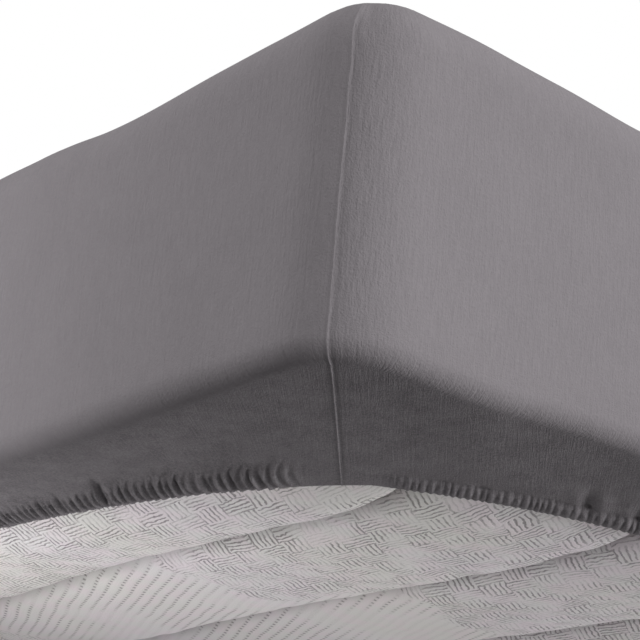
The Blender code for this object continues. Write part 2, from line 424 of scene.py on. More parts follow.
# ---------------------------------------------------------------- rows
# Each row runs round the whole sheet; its step says how many of the finest
# columns lie between two of its points. Every point carries its place on the
# flat cloth: along the side, and how far down from the top's edge.
ARC_ROWS = 8
BAND_Z = 0.0034       # the turned-under band's lower face at the hem, before its gathers
DROP_EDGE = TOP_EDGE_R * math.pi / 2 + HEIGHT - TOP_EDGE_R - 0.012 + 0.012 * math.pi / 2
BAND_LEN = 0.075
verts, uv_rows, loops, ROW_STEP = [], [], [], []


def add_row(step, index, x, y, z, down):
    start = sum(len(l) for l in loops)
    verts.append(np.column_stack([x, y, z]))
    uv_rows.append(np.column_stack([COL_A[index] - COL_AA[index] / 2, np.broadcast_to(down, x.shape)]))
    loops.append(np.arange(start, start + len(index)))
    ROW_STEP.append(step)


def wall_plan(index, inset, shift):
    """Plan points for columns, moved along the outside by shift, and the way out there."""
    px, py, nx, ny = (np.empty(len(index)) for _ in range(4))
    a, inset = COL_A[index] + shift, np.broadcast_to(inset, (len(index),))
    for s in range(4):
        total, before = wall_length(SIDES[s][4]), wall_length(SIDES[(s - 1) % 4][4])
        mine = COL_SIDE[index] == s
        for m, side, at in ((mine & (a >= 0) & (a <= total), s, a), (mine & (a < 0), (s - 1) % 4, a + before),
                            (mine & (a > total), (s + 1) % 4, a - total)):
            px[m], py[m], nx[m], ny[m] = wall_point(side, at[m], inset=inset[m])
    return px, py, nx, ny


def corner_shift(index, height):
    """Moves the columns near a corner so that the densest of them follow the seam."""
    line = seam_line(height)
    line = np.where(CORNER[index] % 2 == 0, line, -line)
    return line * np.exp(-(np.abs(FROM_SEAM[index]) / 0.032) ** 2)


def seam_side(index):
    """Distance from the seam, positive towards the long side's end of it."""
    return np.where(CORNER[index] % 2 == 0, FROM_SEAM[index], -FROM_SEAM[index])


IS_END = (COL_SIDE % 2 == 1).astype(float)       # the foot and head walls
RB = bottom_radius(IS_END, FROM_SEAM)
ALL = np.arange(COUNT)
EDGE_X, EDGE_Y, _, _ = wall_plan(ALL, RB, corner_shift(ALL, 0.0))
EDGE_Z = bottom_lift(EDGE_X, EDGE_Y)


def under_points(index, out=None, share=None):
    """Points of the band underneath, a distance out from the hem, or a share of the way on to the edge from there."""
    ex, ey, hx, hy = EDGE_X[index], EDGE_Y[index], HEM_X[index], HEM_Y[index]
    away = (hx - ex) * IN_X[index] + (hy - ey) * IN_Y[index]          # depth of the band, straight in
    lean = ((hx - ex) * AL_X[index] + (hy - ey) * AL_Y[index]) / away
    depth = np.full(len(index), float(out))
    if share is not None:
        depth = depth + (away - depth) * share
    f = np.clip(depth / away, 0, 1)
    x, y = hx + (ex - hx) * f, hy + (ey - hy) * f
    far = ramp(np.abs(FROM_SEAM[index]), 0.03, 0.20)
    z = BAND_Z + (EDGE_Z[index] - BAND_Z) * f
    z = z + (0.0006 + 0.0012 * IS_END[index] * far) * np.sin(math.pi * f) ** 2
    for s in range(4):
        m = COL_SIDE[index] == s
        total = HEMS[s][0][-1]
        t, off = HEM_T[index][m], HEM_OFF[index][m]
        z[m] += puckers(depth[m], t, total, s, lean[m]) - gathers(depth[m], t, off, total, s, lean[m])
    z = z - seam_relief(seam_side(index)) * (0.35 + 0.65 * ramp(f, 0.0, 0.2))
    return x, y, z, depth / away


# 1. the turned-in edge inside the hem, hidden, then round the hem's edge
for out, lift in ((0.0075, 0.0016), (0.0006, 0.0017)):
    x, y, z, f = under_points(ALL, out=out)
    add_row(1, ALL, x, y, BAND_Z + lift + 0.0002 * noise(HEM_T / 0.004, 0.0, 9), DROP_EDGE + BAND_LEN + out)
x, y, z, f = under_points(ALL, out=0.0)
add_row(1, ALL, x + 0.0004 * IN_X, y + 0.0004 * IN_Y, BAND_Z + (z - BAND_Z) * 0.7 + 0.0008, DROP_EDGE + BAND_LEN)

# 2. the band, from the hem out to the bottom edge
for out in (0.0007, 0.0022, 0.0040, 0.0060, 0.0082, 0.0104, 0.0126, 0.0148, 0.0170, 0.0192):
    x, y, z, f = under_points(ALL, out=out)
    add_row(1, ALL, x, y, z, DROP_EDGE + BAND_LEN * (1 - f))
for out in (0.0218, 0.0246, 0.0278, 0.0315, 0.0360):
    index = ALL[::2]
    x, y, z, f = under_points(index, out=out)
    add_row(2, index, x, y, z, DROP_EDGE + BAND_LEN * (1 - f))
for share in (0.14, 0.32, 0.54, 0.78):
    index = ALL[::4]
    x, y, z, f = under_points(index, out=0.0360, share=share)
    add_row(4, index, x, y, z, DROP_EDGE + BAND_LEN * (1 - f))

# 3. the bottom edge's round
for k in range(ARC_ROWS + 1):
    angle = math.pi / 2 * k / ARC_ROWS
    step = 4 if k < ARC_ROWS else 8
    index = ALL[::step]
    r, lift = RB[index], EDGE_Z[index]
    height = lift + r * (1 - math.cos(angle))
    x, y, nx, ny = wall_plan(index, r * (1 - math.sin(angle)), corner_shift(index, height))
    swell = edge_waves(x, y) * math.sin(angle) + seam_relief(seam_side(index))
    x, y, z = x + nx * swell * math.sin(angle), y + ny * swell * math.sin(angle), height - swell * math.cos(angle)
    add_row(step, index, x, y, z, DROP_EDGE - r * angle)

# 4. the wall
for share in (0.07, 0.17, 0.28, 0.40, 0.52, 0.64, 0.76, 0.86, 0.94):
    index = ALL[::8]
    low, high = EDGE_Z[index] + RB[index], HEIGHT - TOP_EDGE_R
    height = low + (high - low) * share
    x, y, nx, ny = wall_plan(index, 0.0, corner_shift(index, height))
    bulge = 0.0016 * np.sin(math.pi * share) * ramp(np.abs(FROM_SEAM[index]), 0.02, 0.15)
    swell = edge_waves(x, y) + seam_relief(seam_side(index)) + bulge
    rise = top_rise(x, y) * ramp(height, 0.30 * HEIGHT, HEIGHT)
    add_row(8, index, x + nx * swell, y + ny * swell, height + rise, TOP_EDGE_R * math.pi / 2 + (high - height))

# 5. the top edge's round
for k in range(ARC_ROWS + 1):
    angle = math.pi / 2 * k / ARC_ROWS
    index = ALL[::8]
    height = np.full(len(index), HEIGHT - TOP_EDGE_R * (1 - math.sin(angle)))
    x, y, nx, ny = wall_plan(index, TOP_EDGE_R * (1 - math.cos(angle)), corner_shift(index, height))
    off = seam_side(index)
    fade = 1 - ramp(angle, 0.62, 0.90)
    swell = edge_waves(x, y) + seam_relief(off) * fade
    # the dart ends in a little knot with a flat facet beside it
    swell = swell + 0.0010 * bell(off, 0.0006, 0.0018) * bell(angle, 0.74, 0.07)
    swell = swell - 0.0017 * bell(off, 0.0075, 0.0050) * bell(angle, 0.60, 0.30)
    swell = swell - 0.0008 * bell(off, -0.0060, 0.0040) * bell(angle, 0.60, 0.25)
    rise = top_rise(x, y) * ramp(height, 0.30 * HEIGHT, HEIGHT)
    x, y = x + nx * swell * math.cos(angle), y + ny * swell * math.cos(angle)
    add_row(8, index, x, y, height + rise + swell * math.sin(angle), TOP_EDGE_R * (math.pi / 2 - angle))

# 6. the top, ring by ring
insets = [0.044, 0.052, 0.062, 0.074, 0.088]
while insets[-1] < 0.470:
    insets.append(insets[-1] + 0.0165)
insets[-1] = 0.484
TOP_FIRST = len(loops)
for inset in insets:
    index = ALL[::FINE]
    radius = min(0.006 + (inset - TOP_EDGE_R) * 0.35, (WIDTH / 2 - inset) * 0.8)
    x, y = np.empty(len(index)), np.empty(len(index))
    for s in range(4):
        m = COL_SIDE[index] == s
        _, (kx, ky), (tx, ty), (wx, wy), length = SIDES[s]
        arc = radius * math.pi / 4
        total = length - 2 * inset - 2 * radius + 2 * arc
        a = (COL_A[index] / COL_AA[index])[m] * total
        beta = np.clip((arc - a) / radius, 0, math.pi / 4) - np.clip((a - total + arc) / radius, 0, math.pi / 4)
        u = inset + radius + np.clip(a - arc, 0, total - 2 * arc) - radius * np.sin(beta)
        v = inset + radius - radius * np.cos(beta)
        x[m], y[m] = kx + tx * u + wx * v, ky + ty * u + wy * v
    add_row(FINE, index, x, y, HEIGHT + top_rise(x, y), -(inset - TOP_EDGE_R))


# ---------------------------------------------------------------- sheet mesh
faces, face_side, face_top = [], [], []


def side_of(column, step):
    return int(COL_SIDE[(column * step) % COUNT])


for r in range(len(loops) - 1):
    lower, upper = loops[r], loops[r + 1]
    sl, su = ROW_STEP[r], ROW_STEP[r + 1]
    n_low, n_up = len(lower), len(upper)
    if sl == su:
        for k in range(n_low):
            n = (k + 1) % n_low
            faces.append((lower[k], lower[n], upper[n], upper[k]))
            face_side.append(side_of(k, sl))
            face_top.append(r >= TOP_FIRST - 1)
    else:
        assert su == 2 * sl
        for k in range(n_up):
            n = (k + 1) % n_up
            f0, f1, f2 = lower[2 * k], lower[2 * k + 1], lower[(2 * k + 2) % n_low]
            for tri in ((f0, f1, upper[k]), (f1, upper[n], upper[k]), (f1, f2, upper[n])):
                faces.append(tri)
                face_side.append(side_of(k, su))
                face_top.append(r >= TOP_FIRST - 1)

points = np.concatenate(verts)
flat_ad = np.concatenate(uv_rows)

# close the top along its middle by zipping the two long sides of the last ring
ring = loops[-1]
ring_pts = points[ring]
right_chain = [ring[i] for i in np.argsort(ring_pts[:, 1]) if points[ring[i]][0] > 0]
left_chain = [ring[i] for i in np.argsort(ring_pts[:, 1]) if points[ring[i]][0] <= 0]
i = j = 0
while i < len(right_chain) - 1 or j < len(left_chain) - 1:
    step_right = j == len(left_chain) - 1 or (
        i < len(right_chain) - 1 and points[right_chain[i + 1]][1] <= points[left_chain[j + 1]][1])
    if step_right:
        faces.append((left_chain[j], right_chain[i], right_chain[i + 1]))
        i += 1
    else:
        faces.append((left_chain[j], right_chain[i], left_chain[j + 1]))
        j += 1
    face_side.append(0)
    face_top.append(True)


def mesh_object(name, points, faces):
    data = bpy.data.meshes.new(name)
    data.from_pydata([tuple(p) for p in points.tolist()], [], [tuple(int(v) for v in f) for f in faces])
    data.shade_smooth()
    made = bpy.data.objects.new(name, data)
    bpy.context.scene.collection.objects.link(made)
    return made


sheet = mesh_object("jersey_sheet", points, faces)

# Coordinates on the cloth, in metres: along a side and down it, so that the knit's
# lines stand upright on every wall, run on under the edge, and break at the seams.
layer = sheet.data.uv_layers.new(name="cloth")
uv = np.zeros((len(sheet.data.loops), 2))
loop_vertex = np.empty(len(sheet.data.loops), dtype=np.int64)
sheet.data.loops.foreach_get("vertex_index", loop_vertex)
poly_start = np.array([p.loop_start for p in sheet.data.polygons])
poly_total = np.array([p.loop_total for p in sheet.data.polygons])
loop_poly = np.repeat(np.arange(len(poly_start)), poly_total)
fs, ft = np.array(face_side)[loop_poly], np.array(face_top)[loop_poly]
ad = flat_ad[loop_vertex]
along = ad[:, 0].copy()
# a corner's column belongs to the side after it, so the side before takes it at its far end
totals = np.array([wall_length(s[4]) for s in SIDES])
vertex_side = np.concatenate([COL_SIDE[np.arange(0, COUNT, st)] for st in ROW_STEP])[loop_vertex]
wrapped = (vertex_side != fs) & ~ft
along[wrapped] = totals[fs[wrapped]] / 2
drop = ad[:, 1]
m = ~ft
uv[m, 0], uv[m, 1] = along[m] + 3.0 * fs[m], -drop[m]
uv[ft, 0], uv[ft, 1] = points[loop_vertex[ft], 0], points[loop_vertex[ft], 1]
layer.data.foreach_set("uv", uv.ravel())


# ---------------------------------------------------------------- mattress
QUILT_PITCH = 0.1500
QUILT_FIRST = 0.1820      # from the foot end, at the photographed side


def hem_depth(x, y, past=0.0):
    """How far a point lies inside the hem's line (negative: behind the sheet's band)."""
    ux, uy = WIDTH / 2 - np.abs(x), LENGTH / 2 - np.abs(y)
    start = HEM_INSET + HEM_CUT + past
    line_y = HEM_INSET + past + HEM_CUT * np.exp(-np.maximum(uy - start, -0.03) / HEM_REACH[0])
    line_x = HEM_INSET + past + HEM_CUT * np.exp(-np.maximum(ux - start, -0.03) / HEM_REACH[1])
    return np.minimum(ux - line_y, uy - line_x)


def quilt_wave(x, y):
    """Sewn lines across the width wander a little along the length."""
    fx = WIDTH / 2 - x
    drift = np.interp(fx, (0.0, 0.10, 0.15, 0.23, 0.33, 0.44, 0.55, 0.68, 0.85, 1.0),
                      (-0.004, 0.0, 0.006, 0.018, 0.023, 0.027, 0.038, 0.052, 0.060, 0.066))
    return drift + 0.0015 * noise(fx * 5.0, y * 0.9, 23) + 0.0010 * noise(fx * 17.0, y * 2.0, 24)


def under_band(x, y):
    """Height of the mattress behind the sheet's band, clear of the cloth's folds."""
    inside = hem_depth(x, y)
    f = np.clip(-inside / HEM_INSET, 0, 1)
    return 0.0072 + (bottom_lift(x, y) - 0.0034) * f + 0.0022 * np.sin(math.pi * f) ** 2


def ticking_z(x, y, v):
    """Height of the ticking's underside. v is the place along the length before the sewn lines wander."""
    inside = hem_depth(x, y)
    base = under_band(x, y) * (1 - ramp(inside, 0.0, 0.060))
    phase = (LENGTH / 2 + v - QUILT_FIRST) / QUILT_PITCH
    f = phase - np.floor(phase)
    # pillows between the sewn lines: steep at the line, slow over the rest
    pillow = 1 - np.exp(-f / 0.13) - np.exp(-(1 - f) / 0.05)
    crease = 0.0110 * (1 - np.clip(pillow, 0, 1)) ** 1.1
    keep = ramp(inside, -0.004, 0.012)
    puff = 0.0008 * noise(x * 22.0, y * 22.0, 25) + 0.0007 * noise(x * 48.0, y * 40.0, 26)
    wrinkle = 0.0007 * noise((x + 0.3 * y) * 70.0, y * 18.0, 27) * bell(f, 0.0, 0.20)
    return base + (crease + 0.0016 + puff + wrinkle) * keep


# rows across the width: close together at each sewn line
row_v = []
at = -LENGTH / 2 + 0.065
end = LENGTH / 2 - 0.065
while at < end - 0.003:
    row_v.append(at)
    phase = (LENGTH / 2 + at - QUILT_FIRST) / QUILT_PITCH
    near = abs(phase - round(phase)) * QUILT_PITCH
    at += 0.0012 if near < 0.004 else (0.0024 if near < 0.014 else 0.0055)
row_v.append(end)
row_v = np.array(row_v)
col_x = np.linspace(-WIDTH / 2 + 0.065, WIDTH / 2 - 0.065, 121)
gx, gv = np.meshgrid(col_x, row_v)
ends = ramp(gv, row_v[0], row_v[0] + 0.07) * (1 - ramp(gv, row_v[-1] - 0.20, row_v[-1]))
gy = gv + quilt_wave(gx, gv) * ends
gz = ticking_z(gx, gy, gv)
ny_, nx_ = gx.shape
grid_points = np.column_stack([gx.ravel(), gy.ravel(), gz.ravel()])
grid_faces = []
for r in range(ny_ - 1):
    for c in range(nx_ - 1):
        a = r * nx_ + c
        grid_faces.append((a, a + nx_, a + nx_ + 1, a + 1))      # facing down
# its border, counter-clockwise from the corner of right side and foot end
border = ([r * nx_ + nx_ - 1 for r in range(ny_)] + [(ny_ - 1) * nx_ + c for c in range(nx_ - 2, -1, -1)]
          + [r * nx_ for r in range(ny_ - 2, -1, -1)] + list(range(1, nx_ - 1)))
mat_points = [grid_points]
mat_faces = list(grid_faces)
previous = border
count_so_far = len(grid_points)
bp = grid_points[border]


def border_ring(inset, radius, z):
    """A rounded ring with one point for each of the border's, in the same order."""
    a, b = WIDTH / 2 - inset, LENGTH / 2 - inset
    u = bp[:, 0] / (WIDTH / 2 - 0.065) * a
    v = np.clip(bp[:, 1] / (LENGTH / 2 - 0.065), -1, 1) * b
    cx, cy = np.clip(u, -(a - radius), a - radius), np.clip(v, -(b - radius), b - radius)
    dx, dy = u - cx, v - cy
    corner = (np.abs(dx) > 1e-9) & (np.abs(dy) > 1e-9)
    size = np.where(corner, np.maximum(np.abs(dx), np.abs(dy)) / np.maximum(np.hypot(dx, dy), 1e-9), 1.0)
    return np.column_stack([cx + dx * size, cy + dy * size, np.full(len(u), z)])


CLEAR = 0.0030
mat_rings = [(0.050, 0.030, "under", 0.0)]
for k in range(6):
    ang = math.pi / 2 * k / 5
    inset = CLEAR + 0.0100 * (1 - math.sin(ang))
    mat_rings.append((inset, CORNER_R - inset + 0.002, "under", 0.0100 * (1 - math.cos(ang))))
mat_rings.append((CLEAR, CORNER_R - CLEAR, "wall", 0.10))
for k in range(6):
    ang = math.pi / 2 * k / 5
    inset = CLEAR + 0.0400 * (1 - math.cos(ang))
    mat_rings.append((inset, max(CORNER_R - inset, 0.004), "wall", HEIGHT - 0.0032 - 0.0400 * (1 - math.sin(ang))))
for inset in (0.06, 0.10, 0.16, 0.24, 0.33, 0.42, 0.48):
    mat_rings.append((inset, 0.03 if inset < 0.4 else 0.01, "wall", HEIGHT - 0.0032))
for inset, radius, kind, z in mat_rings:
    ring_p = border_ring(inset, radius, z)
    rx, ry, rz = ring_p.T
    if kind == "under":
        ring_p[:, 2] = under_band(rx, ry) + rz
    else:
        ring_p[:, 2] = rz + top_rise(rx, ry) * ramp(rz, 0.30 * HEIGHT, HEIGHT)
    mat_points.append(ring_p)
    current = list(range(count_so_far, count_so_far + len(ring_p)))
    count_so_far += len(ring_p)
    m = len(border)
    for k in range(m):
        n = (k + 1) % m
        mat_faces.append((previous[k], previous[n], current[n], current[k]))
    previous = current
mp = np.concatenate(mat_points)
# close the top: pair the last ring's two long sides
last = previous
m = len(last)
right_run = last[0:ny_]
head_run = last[ny_ - 1:ny_ + nx_ - 1]
left_run = last[ny_ + nx_ - 2:2 * ny_ + nx_ - 2]
foot_run = last[2 * ny_ + nx_ - 3:] + [last[0]]
# the strip between them
lr = left_run[::-1]
for k in range(ny_ - 1):
    mat_faces.append((right_run[k], right_run[k + 1], lr[k + 1], lr[k]))
mat_faces.append(tuple(head_run))
mat_faces.append(tuple(foot_run))
mattress = mesh_object("mattress_ticking", mp, mat_faces)
# the ticking's own coordinates, in which the sewn lines run straight
own = mp[:, :2].copy()
own[:len(grid_points), 1] = gv.ravel()
corners = np.empty(len(mattress.data.loops), dtype=np.int32)
mattress.data.loops.foreach_get("vertex_index", corners)
mattress.data.uv_layers.new(name="quilt").data.foreach_set("uv", own[corners].ravel())


# ---------------------------------------------------------------- materials
class Nodes:
    """A short way to write node trees."""

    def __init__(self, name):
        self.material = bpy.data.materials.new(name)
        self.material.use_nodes = True
        self.tree = self.material.node_tree
        self.shader = self.tree.nodes["Principled BSDF"]

    def new(self, kind, **settings):
        made = self.tree.nodes.new(kind)
        for key, value in settings.items():
            setattr(made, key, value)
        return made

    def link(self, a, b):
        self.tree.links.new(a, b)

    def put(self, socket, value):
        if hasattr(value, "links") or hasattr(value, "is_linked"):
            self.link(value, socket)
        else:
            socket.default_value = value

    def math(self, operation, a, b=None, c=None, clamp=False):
        made = self.new("ShaderNodeMath", operation=operation, use_clamp=clamp)
        for socket, value in zip(made.inputs, (a, b, c)):
            if value is not None:
                self.put(socket, value)
        return made.outputs[0]

    def noise(self, vector, scale, detail=2.0, rough=0.5, distortion=0.0):
        made = self.new("ShaderNodeTexNoise")
        self.link(vector, made.inputs["Vector"])
        made.inputs["Scale"].default_value = scale
        made.inputs["Detail"].default_value = detail
        made.inputs["Roughness"].default_value = rough
        made.inputs["Distortion"].default_value = distortion
        return made.outputs["Fac"]

    def scaled(self, vector, scale):
        made = self.new("ShaderNodeMapping")
        self.link(vector, made.inputs["Vector"])
        made.inputs["Scale"].default_value = scale
        return made.outputs["Vector"]

    def range(self, value, low, high, to_low=0.0, to_high=1.0):
        made = self.new("ShaderNodeMapRange", interpolation_type="SMOOTHSTEP")
        self.put(made.inputs["Value"], value)
        made.inputs["From Min"].default_value = low
        made.inputs["From Max"].default_value = high
        made.inputs["To Min"].default_value = to_low
        made.inputs["To Max"].default_value = to_high
        return made.outputs["Result"]

    def mix(self, factor, a, b):
        made = self.new("ShaderNodeMix", data_type="RGBA")
        self.put(made.inputs["Factor"], factor)
        self.put(made.inputs["A"], a) if not isinstance(a, tuple) else setattr(made.inputs[6], "default_value", a)
        self.put(made.inputs["B"], b) if not isinstance(b, tuple) else setattr(made.inputs[7], "default_value", b)
        return made.outputs[2]

    def multiply(self, factor, a, b):
        made = self.new("ShaderNodeMix", data_type="RGBA", blend_type="MULTIPLY")
        self.put(made.inputs["Factor"], factor)
        self.link(a, made.inputs[6])
        self.link(b, made.inputs[7]) if not isinstance(b, tuple) else setattr(made.inputs[7], "default_value", b)
        return made.outputs[2]

    def grey(self, value):
        made = self.new("ShaderNodeCombineColor")
        for socket in made.inputs:
            self.link(value, socket)
        return made.outputs[0]


def jersey_material():
    n = Nodes("jersey")
    uvm = n.new("ShaderNodeUVMap", uv_map="cloth").outputs["UV"]
    obj = n.new("ShaderNodeTexCoord").outputs["Object"]
    # wales: the knit's fine upright lines, broken and uneven, and single stitches
    wale = n.noise(n.scaled(uvm, (620.0, 70.0, 1.0)), 1.0, 2.0, 0.55)
    broad = n.noise(n.scaled(uvm, (230.0, 34.0, 1.0)), 1.0, 2.0, 0.5)
    stitch = n.noise(n.scaled(uvm, (1150.0, 760.0, 1.0)), 1.0, 2.0, 0.6)
    speck = n.noise(obj, 420.0, 3.0, 0.7)
    mottle = n.noise(obj, 22.0, 3.0, 0.55)
    tone = n.math("ADD", n.math("MULTIPLY", wale, 0.30), n.math("MULTIPLY", stitch, 0.26))
    tone = n.math("ADD", tone, n.math("MULTIPLY", speck, 0.26))
    tone = n.math("ADD", tone, n.math("MULTIPLY", mottle, 0.18))
    fac = n.range(tone, 0.36, 0.64)
    colour = n.mix(fac, (0.153, 0.1415, 0.1500, 1), (0.171, 0.1585, 0.1675, 1))
    # the brushed face is rubbed rougher where the cloth is turned under
    drop = n.new("ShaderNodeSeparateXYZ")
    n.link(uvm, drop.inputs[0])
    under = n.range(n.math("MULTIPLY", drop.outputs["Y"], -1.0), DROP_EDGE - 0.008, DROP_EDGE + 0.004)
    height_of = n.new("ShaderNodeSeparateXYZ")
    n.link(obj, height_of.inputs[0])
    under = n.math("MULTIPLY", under, n.range(height_of.outputs["Z"], 0.060, 0.040))
    fuzz = n.math("SUBTRACT", n.range(n.noise(obj, 720.0, 2.0, 0.75), 0.36, 0.64), 0.5)
    rub = n.math("SUBTRACT", n.range(n.noise(obj, 60.0, 3.0, 0.6), 0.34, 0.66), 0.5)
    fuzz = n.math("ADD", n.math("MULTIPLY", fuzz, 0.34), n.math("MULTIPLY", rub, 0.14))
    worn = n.math("ADD", 1.0, n.math("MULTIPLY", fuzz, n.math("ADD", 0.10, n.math("MULTIPLY", under, 0.90))))
    shade = n.new("ShaderNodeVectorMath", operation="SCALE")
    n.link(colour, shade.inputs[0])
    n.link(worn, shade.inputs["Scale"])
    colour = shade.outputs[0]
    n.link(colour, n.shader.inputs["Base Color"])
    n.shader.inputs["Roughness"].default_value = 0.95
    n.shader.inputs["Specular IOR Level"].default_value = 0.02
    height = n.math("ADD", n.math("MULTIPLY", wale, 0.46), n.math("MULTIPLY", broad, 0.20))
    height = n.math("ADD", height, n.math("MULTIPLY", stitch, 0.42))
    height = n.math("ADD", height, n.math("MULTIPLY", speck, 0.34))
    bump = n.new("ShaderNodeBump")
    bump.inputs["Strength"].default_value = 0.75
    bump.inputs["Distance"].default_value = 0.0012
    n.link(height, bump.inputs["Height"])
    n.link(bump.outputs["Normal"], n.shader.inputs["Normal"])
    return n.material


def ticking_material():
    n = Nodes("ticking")
    obj = n.new("ShaderNodeTexCoord").outputs["Object"]
    wob = n.new("ShaderNodeTexNoise")
    n.link(obj, wob.inputs["Vector"])
    wob.inputs["Scale"].default_value = 16.0
    wob.inputs["Detail"].default_value = 1.0
    centred = n.new("ShaderNodeVectorMath", operation="SUBTRACT")
    n.link(wob.outputs["Color"], centred.inputs[0])
    centred.inputs[1].default_value = (0.5, 0.5, 0.5)
    sized = n.new("ShaderNodeVectorMath", operation="SCALE")
    n.link(centred.outputs[0], sized.inputs[0])
    sized.inputs["Scale"].default_value = 0.0045
    moved = n.new("ShaderNodeVectorMath", operation="ADD")
    n.link(obj, moved.inputs[0])
    n.link(sized.outputs[0], moved.inputs[1])
    sep = n.new("ShaderNodeSeparateXYZ")
    n.link(moved.outputs[0], sep.inputs[0])
    x, y = sep.outputs["X"], sep.outputs["Y"]

    def along(ax, ay):
        return n.math("ADD", n.math("MULTIPLY", x, ax), n.math("MULTIPLY", y, ay))

    # two skew directions: a stroke runs along the first or the second
    d1, d2 = math.radians(176), math.radians(118)
    det = math.cos(d1) * math.sin(d2) - math.sin(d1) * math.cos(d2)
    p = along(math.sin(d2) / det, -math.cos(d2) / det)      # how far along d1
    q = along(-math.sin(d1) / det, math.cos(d1) / det)      # how far along d2

    def cell(value, size):
        scaled = n.math("DIVIDE", value, size)
        return n.math("FLOOR", scaled)

    cp, cq = cell(p, 0.027), cell(q, 0.018)
    even = n.math("MODULO", n.math("ADD", n.math("ADD", cp, cq), 1000.0), 2.0)
    even = n.math("GREATER_THAN", even, 0.5)

    def strokes(value, pitch):
        wave = n.math("SINE", n.math("MULTIPLY", value, 2 * math.pi / pitch))
        return n.range(wave, -1.0, 0.15)

    ragged = n.math("MULTIPLY", n.math("SUBTRACT", n.noise(obj, 150.0, 2.0, 0.6), 0.5), 0.0052)
    s1, s2 = strokes(n.math("ADD", q, ragged), 0.0040), strokes(n.math("ADD", p, ragged), 0.0050)
    woven = n.math("ADD", n.math("MULTIPLY", s1, even), n.math("MULTIPLY", s2, n.math("SUBTRACT", 1.0, even)))
    patchy = n.range(n.noise(obj, 38.0, 3.0, 0.6), 0.36, 0.62)
    woven = n.math("SUBTRACT", 1.0, n.math("MULTIPLY", n.math("SUBTRACT", 1.0, woven), n.math("ADD", 0.34, n.math("MULTIPLY", patchy, 0.66))))

    # zones of dotted diagonal stripes
    dr = math.radians(155)
    r_along = along(math.cos(dr), math.sin(dr))
    r_across = along(-math.sin(dr), math.cos(dr))
    stripe = n.math("SINE", n.math("MULTIPLY", r_across, 2 * math.pi / 0.0086))
    dash = n.math("SINE", n.math("MULTIPLY", r_along, 2 * math.pi / 0.0070))
    dots = n.math("MULTIPLY", n.range(stripe, 0.50, 0.97), n.range(dash, 0.05, 0.70))
    shown = n.range(n.noise(obj, 9.0, 2.0, 0.5), 0.42, 0.56)
    soft = n.range(stripe, -0.7, 0.9)
    dotted = n.math("SUBTRACT", 1.0, n.math("ADD", n.math("MULTIPLY", n.math("MULTIPLY", dots, shown), 0.70), n.math("MULTIPLY", soft, 0.22)))

    from_foot, from_side = n.math("ADD", y, LENGTH / 2), n.math("SUBTRACT", WIDTH / 2, x)
    edge = n.math("ADD", 0.40, n.math("MULTIPLY", n.range(from_foot, 0.20, 0.12), 0.26))
    zone_wave = n.math("SINE", n.math("ADD", n.math("MULTIPLY", n.math("SUBTRACT", from_side, edge), 2 * math.pi / 0.78),
                       n.math("MULTIPLY", n.math("SUBTRACT", n.noise(obj, 7.0, 1.0, 0.5), 0.5), 3.0)))
    quilt = n.new("ShaderNodeSeparateXYZ")
    n.link(n.new("ShaderNodeUVMap", uv_map="quilt").outputs["UV"], quilt.inputs[0])
    first = n.range(n.math("ADD", quilt.outputs["Y"], LENGTH / 2 - QUILT_FIRST), 0.004, -0.004)
    plain = n.math("SUBTRACT", 1.0, n.math("MULTIPLY", first, n.range(from_side, 0.19, 0.22)))
    zone = n.math("MULTIPLY", n.range(zone_wave, -0.04, 0.06), plain)
    pattern = n.math("ADD", n.math("MULTIPLY", woven, n.math("SUBTRACT", 1.0, zone)), n.math("MULTIPLY", dotted, zone))

    micro = n.noise(obj, 900.0, 2.0, 0.6)
    tint = n.noise(obj, 7.0, 2.0, 0.5)
    warm = n.mix(n.range(tint, 0.35, 0.65), (0.80, 0.752, 0.772, 1), (0.79, 0.752, 0.742, 1))
    dark = n.mix(n.range(tint, 0.35, 0.65), (0.34, 0.310, 0.322, 1), (0.33, 0.313, 0.300, 1))
    depth = n.math("ADD", n.math("MULTIPLY", pattern, 0.80), n.math("MULTIPLY", micro, 0.56))
    blush = n.noise(obj, 42.0, 2.0, 0.6)
    warm = n.multiply(1.0, warm, n.mix(n.range(blush, 0.40, 0.62), (0.970, 0.990, 0.975, 1), (1.0, 0.970, 0.990, 1)))
    colour = n.mix(n.range(depth, 0.16, 1.06), dark, warm)
    # painted shade in the creases of the sewn lines: the colour darkens just past each line and just before the next
    place = n.math("FRACT", n.math("DIVIDE", n.math("ADD", quilt.outputs["Y"], LENGTH / 2 - QUILT_FIRST), QUILT_PITCH))
    painted_crease_shade = n.math("ADD", n.math("POWER", n.range(place, 0.16, 0.0), 2.2), n.math("POWER", n.range(place, 0.975, 1.0), 1.0))
    shade = n.new("ShaderNodeVectorMath", operation="SCALE")
    n.link(colour, shade.inputs[0])
    # painted shade: the ticking's colour also falls from 1.0 to 0.86 of itself away from the right side, darker towards
    # the left
    n.link(n.math("MULTIPLY", n.range(from_side, 0.15, 0.62, 1.0, 0.86), n.math("SUBTRACT", 1.0, n.math("MULTIPLY", painted_crease_shade, 0.42))), shade.inputs["Scale"])
    n.link(shade.outputs[0], n.shader.inputs["Base Color"])
    n.shader.inputs["Roughness"].default_value = 0.9
    n.shader.inputs["Specular IOR Level"].default_value = 0.02
    bump = n.new("ShaderNodeBump")
    bump.inputs["Strength"].default_value = 0.6
    bump.inputs["Distance"].default_value = 0.0011
    n.link(depth, bump.inputs["Height"])
    n.link(bump.outputs["Normal"], n.shader.inputs["Normal"])
    return n.material


sheet.data.materials.append(jersey_material())
mattress.data.materials.append(ticking_material())

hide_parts("fitted_sheet")
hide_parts("mattress")
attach(sheet, "root")
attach(mattress, "root")

